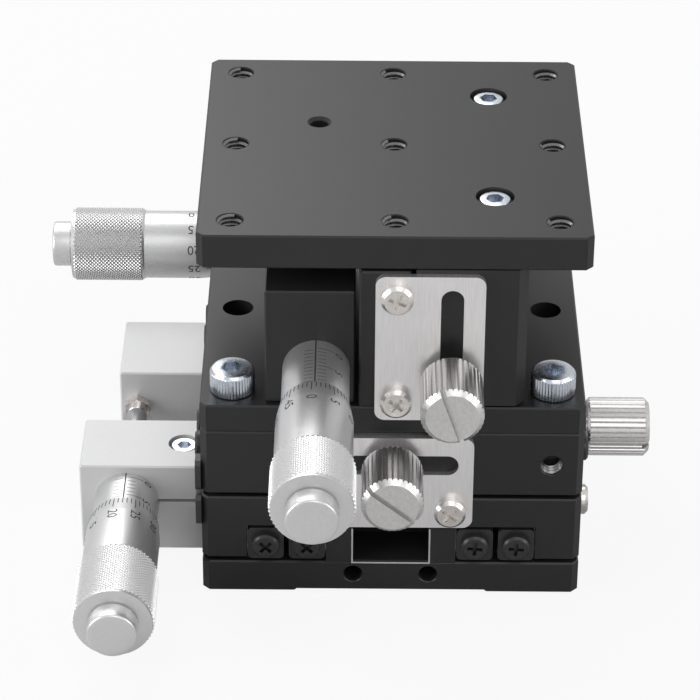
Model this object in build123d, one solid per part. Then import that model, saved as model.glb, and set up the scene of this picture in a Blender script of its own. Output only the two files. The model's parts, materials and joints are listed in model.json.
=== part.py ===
from build123d import *
import os
from math import cos, pi, sin, sqrt

os.makedirs("parts", exist_ok=True)

# A hand-driven XYZ translation stage: two crossed-roller slides stacked at right angles,
# and a vertical slide on top that a horizontal micrometer lifts through a bell crank.
# X is to the right, Y to the back, Z up. The origin is the middle of the base's underside.
# The lower slide travels along Y. The upper one is the same layer, turned and raised.

# Footprint of every plate
footprint = 60.0
corner_chamfer = 1.0
edge_break = 0.25
hole_inset = 5.0
cut_overrun = 1.0

# Heights of one slide layer, from the top of the plate that carries it
base_thickness = 5.7
running_gap = 0.7
layer_pitch = 12.2
rib_height = 6.6
rib_headroom = 0.3
relief_depth = 0.5
relief_half_width = 15.0

# Crossed-roller guide and its end stops
rib_half_width = 10.3
rail_width = 5.9
rail_height = 5.8
rail_lift = 0.6
rail_gap = 0.8
end_stop_thickness = 2.0
end_stop_corner = 0.8
end_stop_side_gap = 0.15
roller_diameter = 2.5
roller_clearance = 0.05
roller_pitch = 6.0
rollers_per_row = 7
cage_thickness = 0.5
cage_height = 4.8
cage_window_clearance = 0.1

# Spring well in each rib, and the pins that the return spring hooks on
spring_well_half_width = 2.9
spring_well_corner = 2.6
spring_well_floor = 1.5
spring_well_front_inset = 13.0
spring_well_back_inset = 8.0
spring_radius = 2.0
spring_wire = 0.7
spring_wire_sides = 8
spring_turns = 9
spring_height = 4.0
spring_pin_radius = 1.0
spring_pin_depth = 3.0
spring_pin_end_gap = 0.6
spring_front_pin_inset = 15.5
spring_back_pin_inset = 16.0
front_recess_half_width = 6.0
front_recess_depth = 8.0
front_recess_lift = 0.4
front_recess_hole = 1.6

# Screws: head and shank are radii, socket is across the flats
plate_screw_head = 3.5
plate_screw_height = 4.0
plate_screw_shank = 1.95
plate_screw_socket = 3.0
plate_screw_length = 10.0
plate_screw_under = 0.6
top_screw_head = 2.7
top_screw_height = 3.0
top_screw_shank = 1.5
top_screw_socket = 2.5
top_screw_length = 8.0
clamp_screw_head = 2.25
clamp_screw_height = 2.5
clamp_screw_shank = 1.25
clamp_screw_socket = 2.0
bracket_screw_head = 1.8
bracket_screw_height = 2.0
bracket_screw_shank = 1.0
bracket_screw_socket = 1.5
bracket_screw_grip = 5.0
bracket_screw_bite = 5.0
bracket_bore_clearance = 0.1
stop_screw_head = 2.2
stop_screw_height = 1.3
stop_screw_shank = 1.0
stop_screw_length = 6.0
stop_screw_crown = 0.35
lock_screw_head = 2.5
lock_screw_height = 1.6
lock_screw_shank = 1.25
lock_screw_length = 5.0
lock_screw_crown = 0.5
screw_clearance = 0.05
plate_hole_clearance = 0.2
counterbore_clearance = 0.3
head_chamfer = 0.3
under_head_chamfer = 0.2
under_head_slope = 1.5
socket_share = 0.5
cross_length_share = 1.1
cross_width_share = 0.26
cross_depth_share = 0.6

# Turns of the screw heads and knobs in degrees, as they happen to stand
plate_screw_turn = 8.0
top_screw_turn = 12.0
stop_screw_turn = 20.0
stop_screw_turn_step = 25.0
lock_screw_turn = 15.0
lock_screw_turn_step = 37.0
y_knob_turn = 10.0
x_knob_turn = -39.0
z_knob_turn = 19.0

# Tapped holes
tapped_radius = 2.0
tapped_mouth = 0.15
table_tapped_depth = 5.6
table_channel_depth = 4.2
front_hole_radius = 1.45
front_hole_spacing = 12.0
front_hole_height = 3.4
front_hole_depth = 6.0
side_tapped_radius = 1.75
side_tapped_depth = 2.6
side_tapped_drop = 5.8

# Lock plate, the same on all three slides, and its knob
lock_plate_length = 25.5
lock_plate_width = 16.7
lock_plate_thickness = 1.0
lock_plate_corner = 1.6
lock_slot_length = 20.8
lock_slot_width = 3.5
lock_slot_inset = 5.0
lock_screw_inset = 3.3
lock_screw_spacing = 18.4
lock_plate_drop = 4.8
lock_knob_radius = 4.85
lock_knob_length = 10.2
lock_knob_gap = 1.6
lock_knob_chamfer = 0.8
lock_knob_rear_chamfer = 0.4
lock_knob_flutes = 36
lock_knob_flute_depth = 0.25
lock_knob_flute_mouth = 0.1
lock_knob_slot = 0.8
lock_knob_slot_depth = 1.2
lock_shank_radius = 1.5
lock_shank_depth = 5.0
lock_shank_end_gap = 1.0
running_clearance = 0.05

# Micrometer clamp and anvil block of one layer, on the layer's left side
clamp_inset = 10.0
clamp_length = 14.0
clamp_reach = 20.0
clamp_below = 4.6
clamp_above = 11.3
clamp_slit = 0.5
clamp_standoff = 0.3
axis_reach = 12.5
axis_height = 4.8
clamp_screw_reach = 3.5
clamp_screw_bottom = 2.0
clamp_mount_drop = 1.25
clamp_mount_inset = 3.5
anvil_inset = 4.5
anvil_length = 17.0
anvil_reach = 15.4
anvil_bottom = 0.9
anvil_screw_place = 10.5
anvil_screw_low = 3.5
anvil_screw_high = 9.1
anvil_pin_radius = 1.5
anvil_pin_length = 2.9
anvil_pin_depth = 6.0
anvil_pin_chamfer = 0.3
anvil_hex = 4.0
anvil_hex_length = 1.7
contact_gap = 0.1

# Micrometer head, the same on all three slides
spindle_radius = 1.75
spindle_chamfer = 0.4
stem_radius = 4.75
stem_clearance = 0.02
sleeve_radius = 5.2
sleeve_past_zero = 20.0
thimble_clearance = 0.06
thimble_lip = 0.2
thimble_cone = 4.0
thimble_radius = 5.9
thimble_smooth = 13.6
z_thimble_smooth = 15.6
knurl_radius = 6.4
knurl_length = 12.8
knurl_chamfer = 0.5
thimble_wall = 2.6
cap_radius = 3.9
cap_length = 3.4
cap_chamfer = 0.6
cap_hole_radius = 0.6
cap_hole_depth = 0.8

# Readings in the rest pose, and how far the zero mark stands from the clamp's face
y_reading = 6.2
y_zero_reach = 1.1
x_reading = 6.5
x_zero_reach = 2.7
z_reading = 10.0
z_zero_reach = 2.3

# Small black plates on the left side near the front
side_plate_thickness = 0.9
side_plate_depth = 3.3
side_plate_height = 5.4
side_plate_gap = 0.2
side_plate_corner = 0.6

# Vertical slide
z_plate_thickness = 4.8
z_plate_hole = 2.5
column_left = -5.3
column_width = 7.9
column_corner = 0.3
column_top_gap = 0.4
slide_side_gap = 0.7
slide_width = 17.1
slide_bottom_gap = 0.4
slide_chamfer = 1.5
slide_height = 24.1
top_thickness = 5.65
z_rib_half_width = 9.0
z_rib_reach = 6.6
z_channel_headroom = 0.5
z_rail_length = 21.0
z_rail_from_face = 0.5
z_rollers_per_row = 3
z_roller_pitch = 5.0
top_screw_x = 15.4
top_screw_y = 17.0
lock_z_left = -2.85
lock_z_bottom = -1.7
lock_z_knob = 5.0

# Bell crank of the vertical slide and its housing
lever_travel = 7.0
lever_half_swing = 0.35
lever_thickness = 5.0
lever_nose = 2.0
lever_hub = 3.2
lever_web = 2.8
lever_pin_radius = 2.0
lever_contact_gap = 0.2
lever_side_gap = 0.5
lever_pin_inset = 1.0
housing_column_gap = 0.6
housing_width = 13.9
housing_inset = 1.1
housing_length = 41.9
housing_height = 19.9
housing_floor = 2.0
housing_stem = 14.0
housing_pocket_start = 19.0
housing_pocket_length = 20.5
z_axis_from_right = 6.0
z_axis_height = 6.1
post_from_front = 36.4
post_radius = 1.5
post_collar_radius = 2.5
post_collar_length = 3.0
post_hole_radius = 1.45
post_thread_length = 3.5
post_countersink = 0.5

# Sizes that follow from the ones above
half = footprint / 2
hole_pitch = half - hole_inset
rail_face = rib_half_width + rail_width
guide_middle = rail_face + rail_gap / 2
channel_half_width = rail_face + rail_gap + rail_width
block_height = layer_pitch - running_gap
rail_centre = rail_lift + rail_height / 2
rail_length = footprint - 2 * end_stop_thickness
groove_depth = (roller_diameter + 2 * roller_clearance) / sqrt(2) - rail_gap / 2
table_top = base_thickness + 2 * layer_pitch
z_floor = table_top + z_plate_thickness
slide_bottom = z_floor + slide_bottom_gap
top_bottom = slide_bottom + slide_height
column_height = top_bottom - column_top_gap - z_floor
column_right = column_left + column_width
slide_left = column_right + slide_side_gap
spring_front_pin = spring_front_pin_inset - half
spring_back_pin = half - spring_back_pin_inset
clamp_front = clamp_inset - half
anvil_front = half - anvil_inset - anvil_length
thimble_length = thimble_smooth + knurl_length
housing_right = column_left - housing_column_gap
housing_left = housing_right - housing_width
housing_front = housing_inset - half
housing_back = housing_front + housing_length
pocket_front = housing_front + housing_pocket_start
pocket_back = pocket_front + housing_pocket_length
z_axis_x = housing_right - z_axis_from_right
post_y = housing_front + post_from_front
lever_radius = lever_travel / (2 * sin(lever_half_swing))
lever_pin_y = post_y - lever_radius
lever_pin_z = z_floor + z_axis_height + lever_radius


def block(x, y, z):
    """A box between two limits on each axis."""
    centre = (sum(x) / 2, sum(y) / 2, sum(z) / 2)
    return Pos(*centre) * Box(x[1] - x[0], y[1] - y[0], z[1] - z[0])


def machined(x, y, z, corner=corner_chamfer):
    """A box with chamfered upright corners and lightly broken top and bottom edges."""
    body = block(x, y, z)
    body = chamfer(body.edges().filter_by(Axis.Z), corner)
    rims = body.faces().sort_by(Axis.Z)
    return chamfer(rims[0].edges() + rims[-1].edges(), edge_break)


def along(start, direction, turn=0):
    """The place of a turned piece: its own Z axis from start along direction."""
    return Plane(origin=start, z_dir=direction).location * Location((0, 0, 0), (0, 0, turn))


def turned(profile):
    """A solid of revolution about Z, from (height, radius) corners."""
    corners = [(radius, 0, height) for height, radius in profile]
    return revolve(make_face(Polyline(*corners, close=True)), Axis.Z)


def rod(radius, start, end):
    """A plain round bar from start to end."""
    run = Vector(*end) - Vector(*start)
    bar = Cylinder(radius, run.length, align=(Align.CENTER, Align.CENTER, Align.MIN))
    return Plane(origin=start, z_dir=run).location * bar


def tapped_hole(mouth, direction, depth, radius=tapped_radius):
    """The cutter of a tapped hole: direction points into the metal."""
    cutter = turned(
        [
            (0, 0),
            (0, radius + tapped_mouth),
            (tapped_mouth, radius),
            (depth, radius),
            (depth, 0),
        ]
    )
    return along(mouth, direction) * cutter


def cap_screw(head, height, shank, socket, length, under=under_head_chamfer):
    """A hexagon socket screw along Z, its head above z = 0 and its shank below."""
    body = turned(
        [
            (-length, 0),
            (-length, shank),
            (0, shank),
            (0, head - under),
            (under * under_head_slope, head),
            (height - head_chamfer, head),
            (height, head - head_chamfer),
            (height, 0),
        ]
    )
    hexagon = extrude(RegularPolygon(socket / sqrt(3), 6), -height * socket_share)
    return body - Pos(0, 0, height) * hexagon


def cross_screw(head, height, shank, length, crown):
    """A pan head screw along Z with a cross recess."""
    top = Cylinder(head, height, align=(Align.CENTER, Align.CENTER, Align.MIN))
    top = chamfer(top.edges().group_by(Axis.Z)[-1], crown)
    stem = Cylinder(shank, length, align=(Align.CENTER, Align.CENTER, Align.MAX))
    depth = height * cross_depth_share
    arm = Box(head * cross_length_share, head * cross_width_share, depth * 2)
    recess = arm + Rot(0, 0, 90) * arm
    return top + stem - Pos(0, 0, height) * recess


def rail(face_x, direction):
    """One guide rail of a layer: face_x is its grooved face, direction points at the rollers."""
    low = rail_lift
    high = rail_lift + rail_height
    back_x = face_x - direction * rail_width
    outline = Polyline(
        (back_x, low),
        (face_x, low),
        (face_x, rail_centre - groove_depth),
        (face_x - direction * groove_depth, rail_centre),
        (face_x, rail_centre + groove_depth),
        (face_x, high),
        (back_x, high),
        close=True,
    )
    bar = extrude(Plane.XZ * make_face(outline), rail_length / 2, both=True)
    for end in (-1, 1):
        start = (rail_screw_x(face_x, direction), end * rail_length / 2, rail_centre)
        bar -= along(start, (0, -end, 0)) * Cylinder(
            stop_screw_shank + screw_clearance,
            stop_screw_length,
            align=(Align.CENTER, Align.CENTER, Align.MIN),
        )
    return bar


def rail_screw_x(face_x, direction):
    """The end screws stand in the middle of the stops."""
    return face_x - direction * (rail_width - end_stop_side_gap) / 2


def rails(inner):
    """The pair of rails on the rib, or the pair in the channel."""
    if inner:
        return [rail(side * rail_face, side) for side in (-1, 1)]
    return [rail(side * (rail_face + rail_gap), -side) for side in (-1, 1)]


def end_stops(inner):
    """A square stop on each rail end with its cross recess screw."""
    pieces = []
    for side in (-1, 1):
        face_x = side * (rail_face if inner else rail_face + rail_gap)
        direction = side if inner else -side
        back_x = face_x - direction * (rail_width - end_stop_side_gap)
        x = sorted((face_x, back_x))
        screw_x = rail_screw_x(face_x, direction)
        for end in (-1, 1):
            y = sorted((end * half, end * (half - end_stop_thickness)))
            stop = block(x, y, (rail_lift, rail_lift + rail_height))
            stop = fillet(stop.edges().filter_by(Axis.Y), end_stop_corner)
            seat = (screw_x, end * half, rail_centre)
            inward = (screw_x, end * (half - end_stop_thickness), rail_centre)
            stop -= rod(stop_screw_shank + screw_clearance, seat, inward)
            screw = cross_screw(
                stop_screw_head,
                stop_screw_height,
                stop_screw_shank,
                stop_screw_length,
                stop_screw_crown,
            )
            turn = stop_screw_turn + stop_screw_turn_step * side * end
            pieces += [stop, along(seat, (0, end, 0), turn) * screw]
    return pieces


def roller_row(count, pitch):
    """A cage strip with its rollers, standing in the YZ plane and centred on the origin."""
    window_y = roller_diameter + 2 * cage_window_clearance
    reach = (roller_diameter + 2 * cage_window_clearance) / sqrt(2)
    strip = Box(cage_thickness, count * pitch, cage_height)
    rollers = []
    for number in range(count):
        place = Pos(0, (number - (count - 1) / 2) * pitch, 0)
        strip -= place * Box(cage_thickness * 2, window_y, reach * 2)
        lean = 45 if number % 2 else -45
        rollers.append(place * Rot(0, lean, 0) * Cylinder(roller_diameter / 2, roller_diameter))
    return [strip] + rollers


def roller_cages():
    """Both rows of rollers of a layer."""
    row = roller_row(rollers_per_row, roller_pitch)
    return [Pos(side * guide_middle, 0, rail_centre) * piece for side in (-1, 1) for piece in row]


def rib():
    """The guide rib on top of a plate, with its spring well and front recess."""
    body = block((-rib_half_width, rib_half_width), (-half, half), (0, rib_height))
    well = block(
        (-spring_well_half_width, spring_well_half_width),
        (spring_well_front_inset - half, half - spring_well_back_inset),
        (spring_well_floor, rib_height),
    )
    well = fillet(well.edges().filter_by(Axis.Z), spring_well_corner)
    recess_back = -half + front_recess_depth
    recess = block(
        (-front_recess_half_width, front_recess_half_width),
        (-half, recess_back),
        (front_recess_lift, rib_height),
    )
    pull_hole = rod(
        front_recess_hole,
        (0, recess_back - cut_overrun, spring_height),
        (0, spring_well_front_inset - half + cut_overrun, spring_height),
    )
    pin = spring_pin_hole(spring_front_pin, spring_well_floor, -1)
    return body - well - recess - pull_hole - pin


def spring_pin_hole(y, height, direction):
    """The blind hole of a spring pin, up or down from height."""
    end = (0, y, height + direction * spring_pin_depth)
    return rod(spring_pin_radius, (0, y, height), end)


def lower_spring_pin():
    """The pin that stands in the rib's spring well."""
    low = spring_well_floor - spring_pin_depth
    high = rib_height - spring_pin_end_gap
    return rod(spring_pin_radius, (0, spring_front_pin, low), (0, spring_front_pin, high))


def upper_spring_pin():
    """The pin that hangs from the sliding block into the well."""
    low = spring_well_floor + spring_pin_end_gap
    high = rib_height + rib_headroom + spring_pin_depth
    return rod(spring_pin_radius, (0, spring_back_pin, low), (0, spring_back_pin, high))


def return_spring():
    """The coil that pulls the two pins together, from pin to pin."""
    wire = spring_wire / 2
    clear = spring_pin_radius + wire + running_clearance
    start = spring_front_pin + clear
    end = spring_back_pin - clear
    path = Helix((end - start) / spring_turns, end - start, spring_radius - wire)
    section = Plane(origin=path @ 0, z_dir=path % 0) * RegularPolygon(wire, spring_wire_sides)
    coil = sweep(section, path=path, is_frenet=True)
    return along((0, start, spring_height), (0, 1, 0)) * coil


def sliding_block():
    """The inverted U that runs over the rib, from the plate's top as z = 0."""
    body = machined((-half, half), (-half, half), (running_gap, layer_pitch))
    channel = block(
        (-channel_half_width, channel_half_width),
        (-half, half),
        (0, rib_height + rib_headroom),
    )
    body -= channel
    body -= spring_pin_hole(spring_back_pin, rib_height + rib_headroom, 1)
    return body


def anvil_screw_places():
    """Where the two anvil block screws enter, as (y, z)."""
    y = anvil_front + anvil_screw_place
    return [(y, anvil_screw_low), (y, anvil_screw_high)]


def clamp_screw_places():
    """Where the two clamp block screws enter, as (y, z)."""
    ends = (clamp_front + clamp_mount_inset, clamp_front + clamp_length - clamp_mount_inset)
    return [(y, -clamp_mount_drop) for y in ends]


def bracket_bites(places):
    """The screw holes in the block that carries a bracket."""
    radius = bracket_screw_shank + screw_clearance
    return [rod(radius, (-half, y, z), (-half + bracket_screw_bite, y, z)) for y, z in places]


def bracket_holes(places, reach):
    """The counterbored holes through a bracket that stands reach out from the side."""
    cuts = []
    seat = -half - bracket_screw_grip
    for y, z in places:
        cuts.append(rod(bracket_screw_shank + screw_clearance, (-half, y, z), (seat, y, z)))
        bore = bracket_screw_head + bracket_bore_clearance
        cuts.append(rod(bore, (seat, y, z), (-half - reach, y, z)))
    return cuts


def bracket_screws(places):
    """The screws that hold a bracket."""
    screw = cap_screw(
        bracket_screw_head,
        bracket_screw_height,
        bracket_screw_shank,
        bracket_screw_socket,
        bracket_screw_grip + bracket_screw_bite,
    )
    seat = -half - bracket_screw_grip
    return [along((seat, y, z), (-1, 0, 0)) * screw for y, z in places]


def micrometer_clamp():
    """The split block that grips the micrometer's stem."""
    side = (-half - clamp_reach, -half)
    length = (clamp_front, clamp_front + clamp_length)
    body = block(side, length, (-clamp_below, clamp_above))
    body = chamfer(body.edges(), edge_break)
    axis_x = -half - axis_reach
    body -= rod(
        stem_radius + stem_clearance,
        (axis_x, clamp_front, axis_height),
        (axis_x, clamp_front + clamp_length, axis_height),
    )
    slit = (axis_height - clamp_slit / 2, axis_height + clamp_slit / 2)
    body -= block((axis_x, -half), length, slit)
    body -= block((-half - clamp_standoff, -half), length, (0, clamp_above))
    body -= bracket_holes(clamp_screw_places(), clamp_reach)
    x, y = clamp_screw_at()
    seat = clamp_above - clamp_screw_height - counterbore_clearance
    bottom = (x, y, clamp_screw_bottom)
    body -= rod(clamp_screw_shank + screw_clearance, (x, y, clamp_above), bottom)
    body -= rod(clamp_screw_head + counterbore_clearance, (x, y, seat), (x, y, clamp_above))
    return body


def clamp_screw_at():
    """The pinch screw stands between the bore and the stage."""
    return -half - clamp_screw_reach, clamp_front + clamp_length / 2


def clamp_screw():
    """The pinch screw of the clamp."""
    x, y = clamp_screw_at()
    seat = clamp_above - clamp_screw_height - counterbore_clearance
    screw = cap_screw(
        clamp_screw_head,
        clamp_screw_height,
        clamp_screw_shank,
        clamp_screw_socket,
        seat - clamp_screw_bottom,
    )
    return Pos(x, y, seat) * screw


def anvil_block():
    """The block that the spindle pushes, with a hole for its anvil pin."""
    side = (-half - anvil_reach, -half)
    body = block(side, (anvil_front, anvil_front + anvil_length), (anvil_bottom, clamp_above))
    body = chamfer(body.edges(), edge_break)
    x = -half - axis_reach
    body -= rod(
        anvil_pin_radius + screw_clearance,
        (x, anvil_front, axis_height),
        (x, anvil_front + anvil_pin_depth, axis_height),
    )
    return body - bracket_holes(anvil_screw_places(), anvil_reach)


def anvil_pin():
    """A hexagon stud with a round nose that the spindle rests against."""
    nose = turned(
        [
            (-anvil_pin_depth, 0),
            (-anvil_pin_depth, anvil_pin_radius),
            (anvil_pin_length - anvil_pin_chamfer, anvil_pin_radius),
            (anvil_pin_length, anvil_pin_radius - anvil_pin_chamfer),
            (anvil_pin_length, 0),
        ]
    )
    nut = extrude(RegularPolygon(anvil_hex / sqrt(3), 6), anvil_hex_length)
    place = along((-half - axis_reach, anvil_front, axis_height), (0, -1, 0))
    return place * (nose + nut)


def lock_plate():
    """The slotted lock plate, flat in XY, with its screw edge at y = 0 and slot above."""
    plate = Pos(0, lock_plate_width / 2) * RectangleRounded(
        lock_plate_length, lock_plate_width, lock_plate_corner
    )
    slot_y = lock_plate_width - lock_slot_inset
    plate -= Pos(0, slot_y) * SlotOverall(lock_slot_length, lock_slot_width)
    for side in (-1, 1):
        hole = Circle(lock_screw_shank + screw_clearance)
        plate -= Pos(side * lock_screw_spacing / 2, lock_screw_inset) * hole
    return extrude(plate, lock_plate_thickness)


def lock_plate_screws():
    """The two screws of a lock plate, in the plate's own place."""
    screw = cross_screw(
        lock_screw_head,
        lock_screw_height,
        lock_screw_shank,
        lock_screw_length + lock_plate_thickness,
        lock_screw_crown,
    )
    return [
        Pos(side * lock_screw_spacing / 2, lock_screw_inset, lock_plate_thickness)
        * Rot(0, 0, lock_screw_turn + lock_screw_turn_step * side)
        * screw
        for side in (-1, 1)
    ]


def lock_screw_holes():
    """Cutters for a lock plate's two screws, behind the plate."""
    cutters = []
    for side in (-1, 1):
        x = side * lock_screw_spacing / 2
        radius = lock_screw_shank + screw_clearance
        cutters.append(rod(radius, (x, lock_screw_inset, -lock_screw_length), (x, lock_screw_inset, 0)))
    return cutters


def lock_thread_hole(knob_shift=0.0):
    """Cutter for the lock knob's thread, behind the plate's slot."""
    y = lock_plate_width - lock_slot_inset
    low = -lock_shank_depth - lock_shank_end_gap
    return rod(lock_shank_radius + running_clearance, (knob_shift, y, low), (knob_shift, y, 0))


def lock_knob(knob_shift=0.0, slot_turn=0.0):
    """A fluted thumb screw in the lock plate's own place."""
    foot = lock_plate_thickness + lock_knob_gap
    top = foot + lock_knob_length
    body = turned(
        [
            (-lock_shank_depth, 0),
            (-lock_shank_depth, lock_shank_radius),
            (foot, lock_shank_radius),
            (foot, lock_knob_radius - lock_knob_rear_chamfer),
            (foot + lock_knob_rear_chamfer, lock_knob_radius),
            (top - lock_knob_chamfer, lock_knob_radius),
            (top, lock_knob_radius - lock_knob_chamfer),
            (top, 0),
        ]
    )
    reach = lock_knob_flute_depth
    mouth = lock_knob_flute_mouth
    flute = Polyline((-reach, mouth), (0, -reach), (reach, mouth), close=True)
    cutter = extrude(make_face(flute), lock_knob_length)
    cutters = [
        Rot(0, 0, 360 * number / lock_knob_flutes) * Pos(0, lock_knob_radius, foot) * cutter
        for number in range(lock_knob_flutes)
    ]
    body -= cutters
    slot = Box(lock_knob_radius * 2, lock_knob_slot, lock_knob_slot_depth * 2)
    body -= Pos(0, 0, top) * Rot(0, 0, slot_turn) * slot
    return Pos(knob_shift, lock_plate_width - lock_slot_inset, 0) * body


def side_lock_place():
    """The lock plate's place on a layer's right side: its screw edge low, its face outwards."""
    origin = (half, 0, -lock_plate_drop)
    return Plane(origin=origin, x_dir=(0, 1, 0), z_dir=(1, 0, 0)).location


def front_lock_place():
    """The lock plate's place on the vertical slide's front: its screw edge to the left."""
    origin = (lock_z_left, -half, z_floor + lock_z_bottom + lock_plate_length / 2)
    return Plane(origin=origin, x_dir=(0, 0, -1), z_dir=(0, -1, 0)).location


def micrometer(face, reading, zero_reach, stem_length, tip, smooth=thimble_smooth):
    """A micrometer head whose spindle points along +Y from a clamp face.

    Returns its sleeve, spindle and thimble with cap. tip is the spindle's end, from the face.
    """
    bore = spindle_radius + running_clearance
    sleeve_back = -(zero_reach + sleeve_past_zero)
    sleeve = turned(
        [
            (sleeve_back, bore),
            (sleeve_back, sleeve_radius),
            (0, sleeve_radius),
            (0, stem_radius),
            (stem_length, stem_radius),
            (stem_length, bore),
        ]
    )
    front = -(zero_reach + reading)
    back = front - thimble_length
    inside = sleeve_radius + thimble_clearance
    thimble = turned(
        [
            (front, inside),
            (front, inside + thimble_lip),
            (front - thimble_cone, thimble_radius),
            (front - smooth, thimble_radius),
            (front - smooth, knurl_radius - knurl_chamfer / 2),
            (front - smooth - knurl_chamfer / 2, knurl_radius),
            (back + knurl_chamfer, knurl_radius),
            (back, knurl_radius - knurl_chamfer),
            (back, bore),
            (back + thimble_wall, bore),
            (back + thimble_wall, inside),
        ]
    )
    cap = turned(
        [
            (back, 0),
            (back, cap_radius),
            (back - cap_length + cap_chamfer, cap_radius),
            (back - cap_length, cap_radius - cap_chamfer),
            (back - cap_length, cap_hole_radius),
            (back - cap_length + cap_hole_depth, cap_hole_radius),
            (back - cap_length + cap_hole_depth, 0),
        ]
    )
    spindle = turned(
        [
            (back + contact_gap, 0),
            (back + contact_gap, spindle_radius),
            (tip - spindle_chamfer, spindle_radius),
            (tip, spindle_radius - spindle_chamfer),
            (tip, 0),
        ]
    )
    place = along(face, (0, 1, 0))
    return [place * sleeve], [place * spindle], [place * thimble, place * cap]


def layer_micrometer(reading, zero_reach):
    """The micrometer of a layer, its spindle just clear of the anvil pin."""
    face = (-half - axis_reach, clamp_front, axis_height)
    tip = anvil_front - anvil_pin_length - contact_gap - clamp_front
    return micrometer(face, reading, zero_reach, clamp_length, tip)


def side_plate(low):
    """A small black plate on the left side near the front, its lower edge at z = low."""
    front = side_plate_gap - half
    x = (-half - side_plate_thickness, -half)
    plate = block(x, (front, front + side_plate_depth), (low, low + side_plate_height))
    return chamfer(plate.edges().filter_by(Axis.X), side_plate_corner)


# Places of the two layers: the upper one is turned a quarter turn and raised
y_layer = Location((0, 0, base_thickness))
x_layer = Location((0, 0, base_thickness + layer_pitch), (0, 0, -90))
corners = [(x, y) for x in (-hole_pitch, hole_pitch) for y in (-hole_pitch, hole_pitch)]
grid = [(x, y) for x in (-hole_pitch, 0, hole_pitch) for y in (-hole_pitch, 0, hole_pitch)]


def base_block():
    """The base plate with its rib, tapped corners, front holes and relieved underside."""
    body = machined((-half, half), (-half, half), (0, base_thickness))
    relief = Polyline(
        (-relief_half_width - relief_depth, 0),
        (-relief_half_width, relief_depth),
        (relief_half_width, relief_depth),
        (relief_half_width + relief_depth, 0),
        close=True,
    )
    body -= extrude(Plane.XZ * make_face(relief), footprint, both=True)
    for x, y in corners:
        body -= tapped_hole((x, y, 0), (0, 0, 1), base_thickness)
    for side in (-1, 1):
        mouth = (side * front_hole_spacing / 2, -half, front_hole_height)
        body -= tapped_hole(mouth, (0, 1, 0), front_hole_depth, front_hole_radius)
    body += y_layer * rib()
    cuts = [side_lock_place() * cut for cut in lock_screw_holes()]
    cuts += bracket_bites(clamp_screw_places())
    cuts.append(spring_pin_hole(spring_front_pin, spring_well_floor, -1))
    return body - [y_layer * cut for cut in cuts]


def middle_block():
    """The Y table: an inverted U below, and the rib of the X layer on top."""
    below = [side_lock_place() * lock_thread_hole()] + bracket_bites(anvil_screw_places())
    above = [side_lock_place() * cut for cut in lock_screw_holes()]
    above += bracket_bites(clamp_screw_places())
    above.append(spring_pin_hole(spring_front_pin, spring_well_floor, -1))
    body = y_layer * sliding_block() + x_layer * rib()
    return body - [y_layer * cut for cut in below] - [x_layer * cut for cut in above]


def x_table_block():
    """The X table: an inverted U with tapped holes in its top and one in its front."""
    cuts = [side_lock_place() * lock_thread_hole()] + bracket_bites(anvil_screw_places())
    body = x_layer * sliding_block() - [x_layer * cut for cut in cuts]
    for x, y in corners:
        body -= tapped_hole((x, y, table_top), (0, 0, -1), table_tapped_depth)
    for x in (-hole_pitch, hole_pitch):
        body -= tapped_hole((x, 0, table_top), (0, 0, -1), table_channel_depth)
    mouth = (hole_pitch, -half, table_top - side_tapped_drop)
    body -= tapped_hole(mouth, (0, 1, 0), side_tapped_depth, side_tapped_radius)
    return body


def z_base_plate():
    """The plate that carries the vertical slide, with two open holes at its sides."""
    body = machined((-half, half), (-half, half), (table_top, z_floor))
    for x, y in corners:
        radius = plate_screw_shank + plate_hole_clearance
        body -= rod(radius, (x, y, table_top), (x, y, z_floor))
    for x in (-hole_pitch, hole_pitch):
        body -= rod(z_plate_hole, (x, 0, table_top), (x, 0, z_floor))
    return body


def z_base_plate_screws():
    """Four cap screws standing on the plate."""
    screw = cap_screw(
        plate_screw_head,
        plate_screw_height,
        plate_screw_shank,
        plate_screw_socket,
        plate_screw_length,
        plate_screw_under,
    )
    return [
        Pos(x, y, z_floor) * Rot(0, 0, plate_screw_turn * number) * screw
        for number, (x, y) in enumerate(corners)
    ]


def z_guide_rail(face_y, direction, x_low, z_low):
    """One upright rail: face_y is its grooved face, direction points at the rollers."""
    back_y = face_y - direction * rail_width
    centre = x_low + rail_height / 2
    outline = Polyline(
        (x_low, back_y),
        (x_low, face_y),
        (centre - groove_depth, face_y),
        (centre, face_y - direction * groove_depth),
        (centre + groove_depth, face_y),
        (x_low + rail_height, face_y),
        (x_low + rail_height, back_y),
        close=True,
    )
    return Pos(0, 0, z_low) * extrude(make_face(outline), z_rail_length)


def z_rail_x():
    """Where the upright rails start along X."""
    return slide_left + z_rail_from_face


def z_fixed_rails():
    """The pair of upright rails on the column's rib."""
    low = z_floor + (column_height - z_rail_length) / 2
    face = z_rib_half_width + rail_width
    return [z_guide_rail(side * face, side, z_rail_x(), low) for side in (-1, 1)]


def z_moving_rails():
    """The pair of upright rails in the slide's channel."""
    low = slide_bottom + (slide_height - z_rail_length) / 2
    face = z_rib_half_width + rail_width + rail_gap
    return [z_guide_rail(side * face, -side, z_rail_x(), low) for side in (-1, 1)]


def z_roller_cages():
    """The two upright rows of rollers between the Z rails."""
    row = roller_row(z_rollers_per_row, z_roller_pitch)
    middle = z_rib_half_width + rail_width + rail_gap / 2
    centre = z_floor + column_height / 2
    upright = Rot(0, 0, 90) * Rot(90, 0, 0)
    return [
        Pos(z_rail_x() + rail_height / 2, side * middle, centre) * upright * piece
        for side in (-1, 1)
        for piece in row
    ]


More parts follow.
